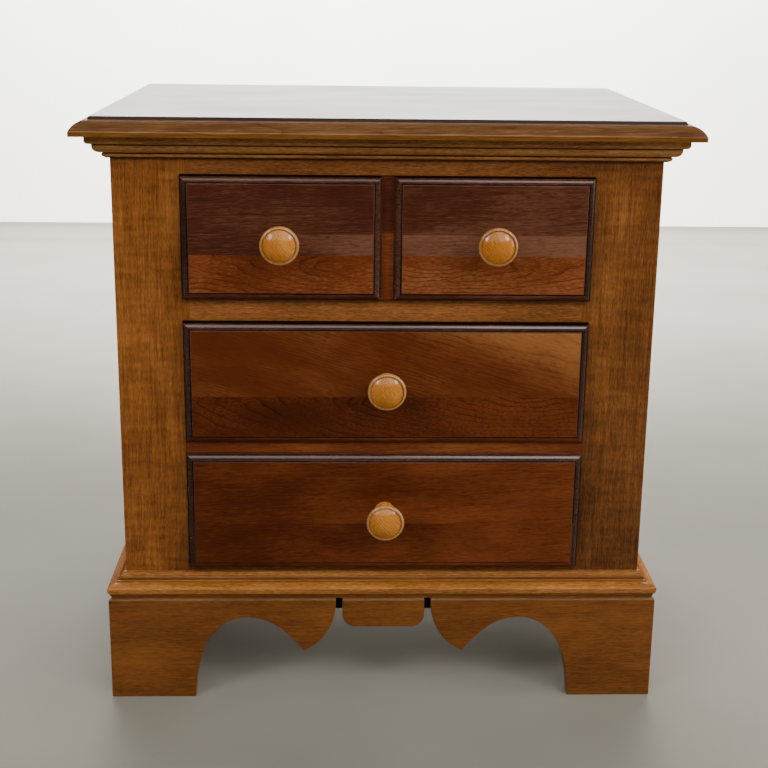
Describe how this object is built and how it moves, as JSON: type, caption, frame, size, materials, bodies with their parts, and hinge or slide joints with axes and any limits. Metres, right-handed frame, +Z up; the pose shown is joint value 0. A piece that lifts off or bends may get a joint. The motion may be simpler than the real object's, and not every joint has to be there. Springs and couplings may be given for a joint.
{
  "type": "nightstand",
  "caption": "Traditional wooden nightstand with an overhanging moulded top, lipped drawers with turned knobs and a scroll-cut bracket base.",
  "frame": {"origin": "on the floor, under the middle of the whole object, knobs included", "axes": "+X to the right seen from the front, +Y to the back, +Z up; the drawers open towards -Y"},
  "size_m": [0.686, 0.477, 0.6965],
  "materials": {
    "brown_hardwood": "satin lacquer over brown stain",
    "cherry_front": "satin lacquer over dark reddish stain",
    "honey_knob": "gloss lacquer",
    "poplar": "planed, unfinished",
    "plywood": "sanded, unfinished",
    "zinc_steel": "zinc plated",
    "nylon": "moulded"
  },
  "bodies": {
    "case": {"top_panel": "brown_hardwood", "crown_front": "brown_hardwood", "crown_left": "brown_hardwood", "crown_right": "brown_hardwood", "left_stile": "brown_hardwood", "right_stile": "brown_hardwood", "top_rail": "brown_hardwood", "middle_rail": "brown_hardwood", "bottom_rail": "brown_hardwood", "left_side_panel": "brown_hardwood", "right_side_panel": "brown_hardwood", "base_moulding_front": "brown_hardwood", "base_moulding_left": "brown_hardwood", "base_moulding_right": "brown_hardwood", "front_left_bracket": "brown_hardwood", "front_right_bracket": "brown_hardwood", "centre_drop": "brown_hardwood", "left_apron": "brown_hardwood", "right_apron": "brown_hardwood", "left_kicker": "poplar", "right_kicker": "poplar", "rear_top_rail": "poplar", "upper_left_runner": "poplar", "upper_right_runner": "poplar", "upper_rear_rail": "poplar", "upper_centre_guide": "poplar", "lower_left_runner": "poplar", "lower_right_runner": "poplar", "lower_rear_rail": "poplar", "lower_centre_guide": "poplar", "front_base_cleat": "poplar", "left_base_cleat": "poplar", "right_base_cleat": "poplar", "rear_base_cleat": "poplar", "rear_left_bracket": "poplar", "rear_right_bracket": "poplar", "corner_blocks": "poplar", "stop_pins": "poplar", "back_panel": "plywood", "upper_dust_panel": "plywood", "lower_dust_panel": "plywood", "top_screws": "zinc_steel"},
    "upper_drawer": {"upper_drawer_front": "cherry_front", "upper_drawer_left_side": "poplar", "upper_drawer_right_side": "poplar", "upper_drawer_back": "poplar", "upper_drawer_bottom": "plywood", "upper_left_knob": "honey_knob", "upper_right_knob": "honey_knob", "upper_knob_screws": "zinc_steel", "upper_drawer_saddle": "nylon"},
    "lower_drawer": {"lower_drawer_front": "cherry_front", "lower_drawer_left_side": "poplar", "lower_drawer_right_side": "poplar", "lower_drawer_back": "poplar", "lower_drawer_bottom": "plywood", "lower_top_knob": "honey_knob", "lower_bottom_knob": "honey_knob", "lower_knob_screws": "zinc_steel", "lower_drawer_saddle": "nylon"}
  },
  "joints": [
    {"name": "upper_drawer_slide", "type": "slide", "parent": "case", "child": "upper_drawer", "axis": [0, -1, 0], "range_m": [0, 0.318]},
    {"name": "lower_drawer_slide", "type": "slide", "parent": "case", "child": "lower_drawer", "axis": [0, -1, 0], "range_m": [0, 0.318]}
  ]
}
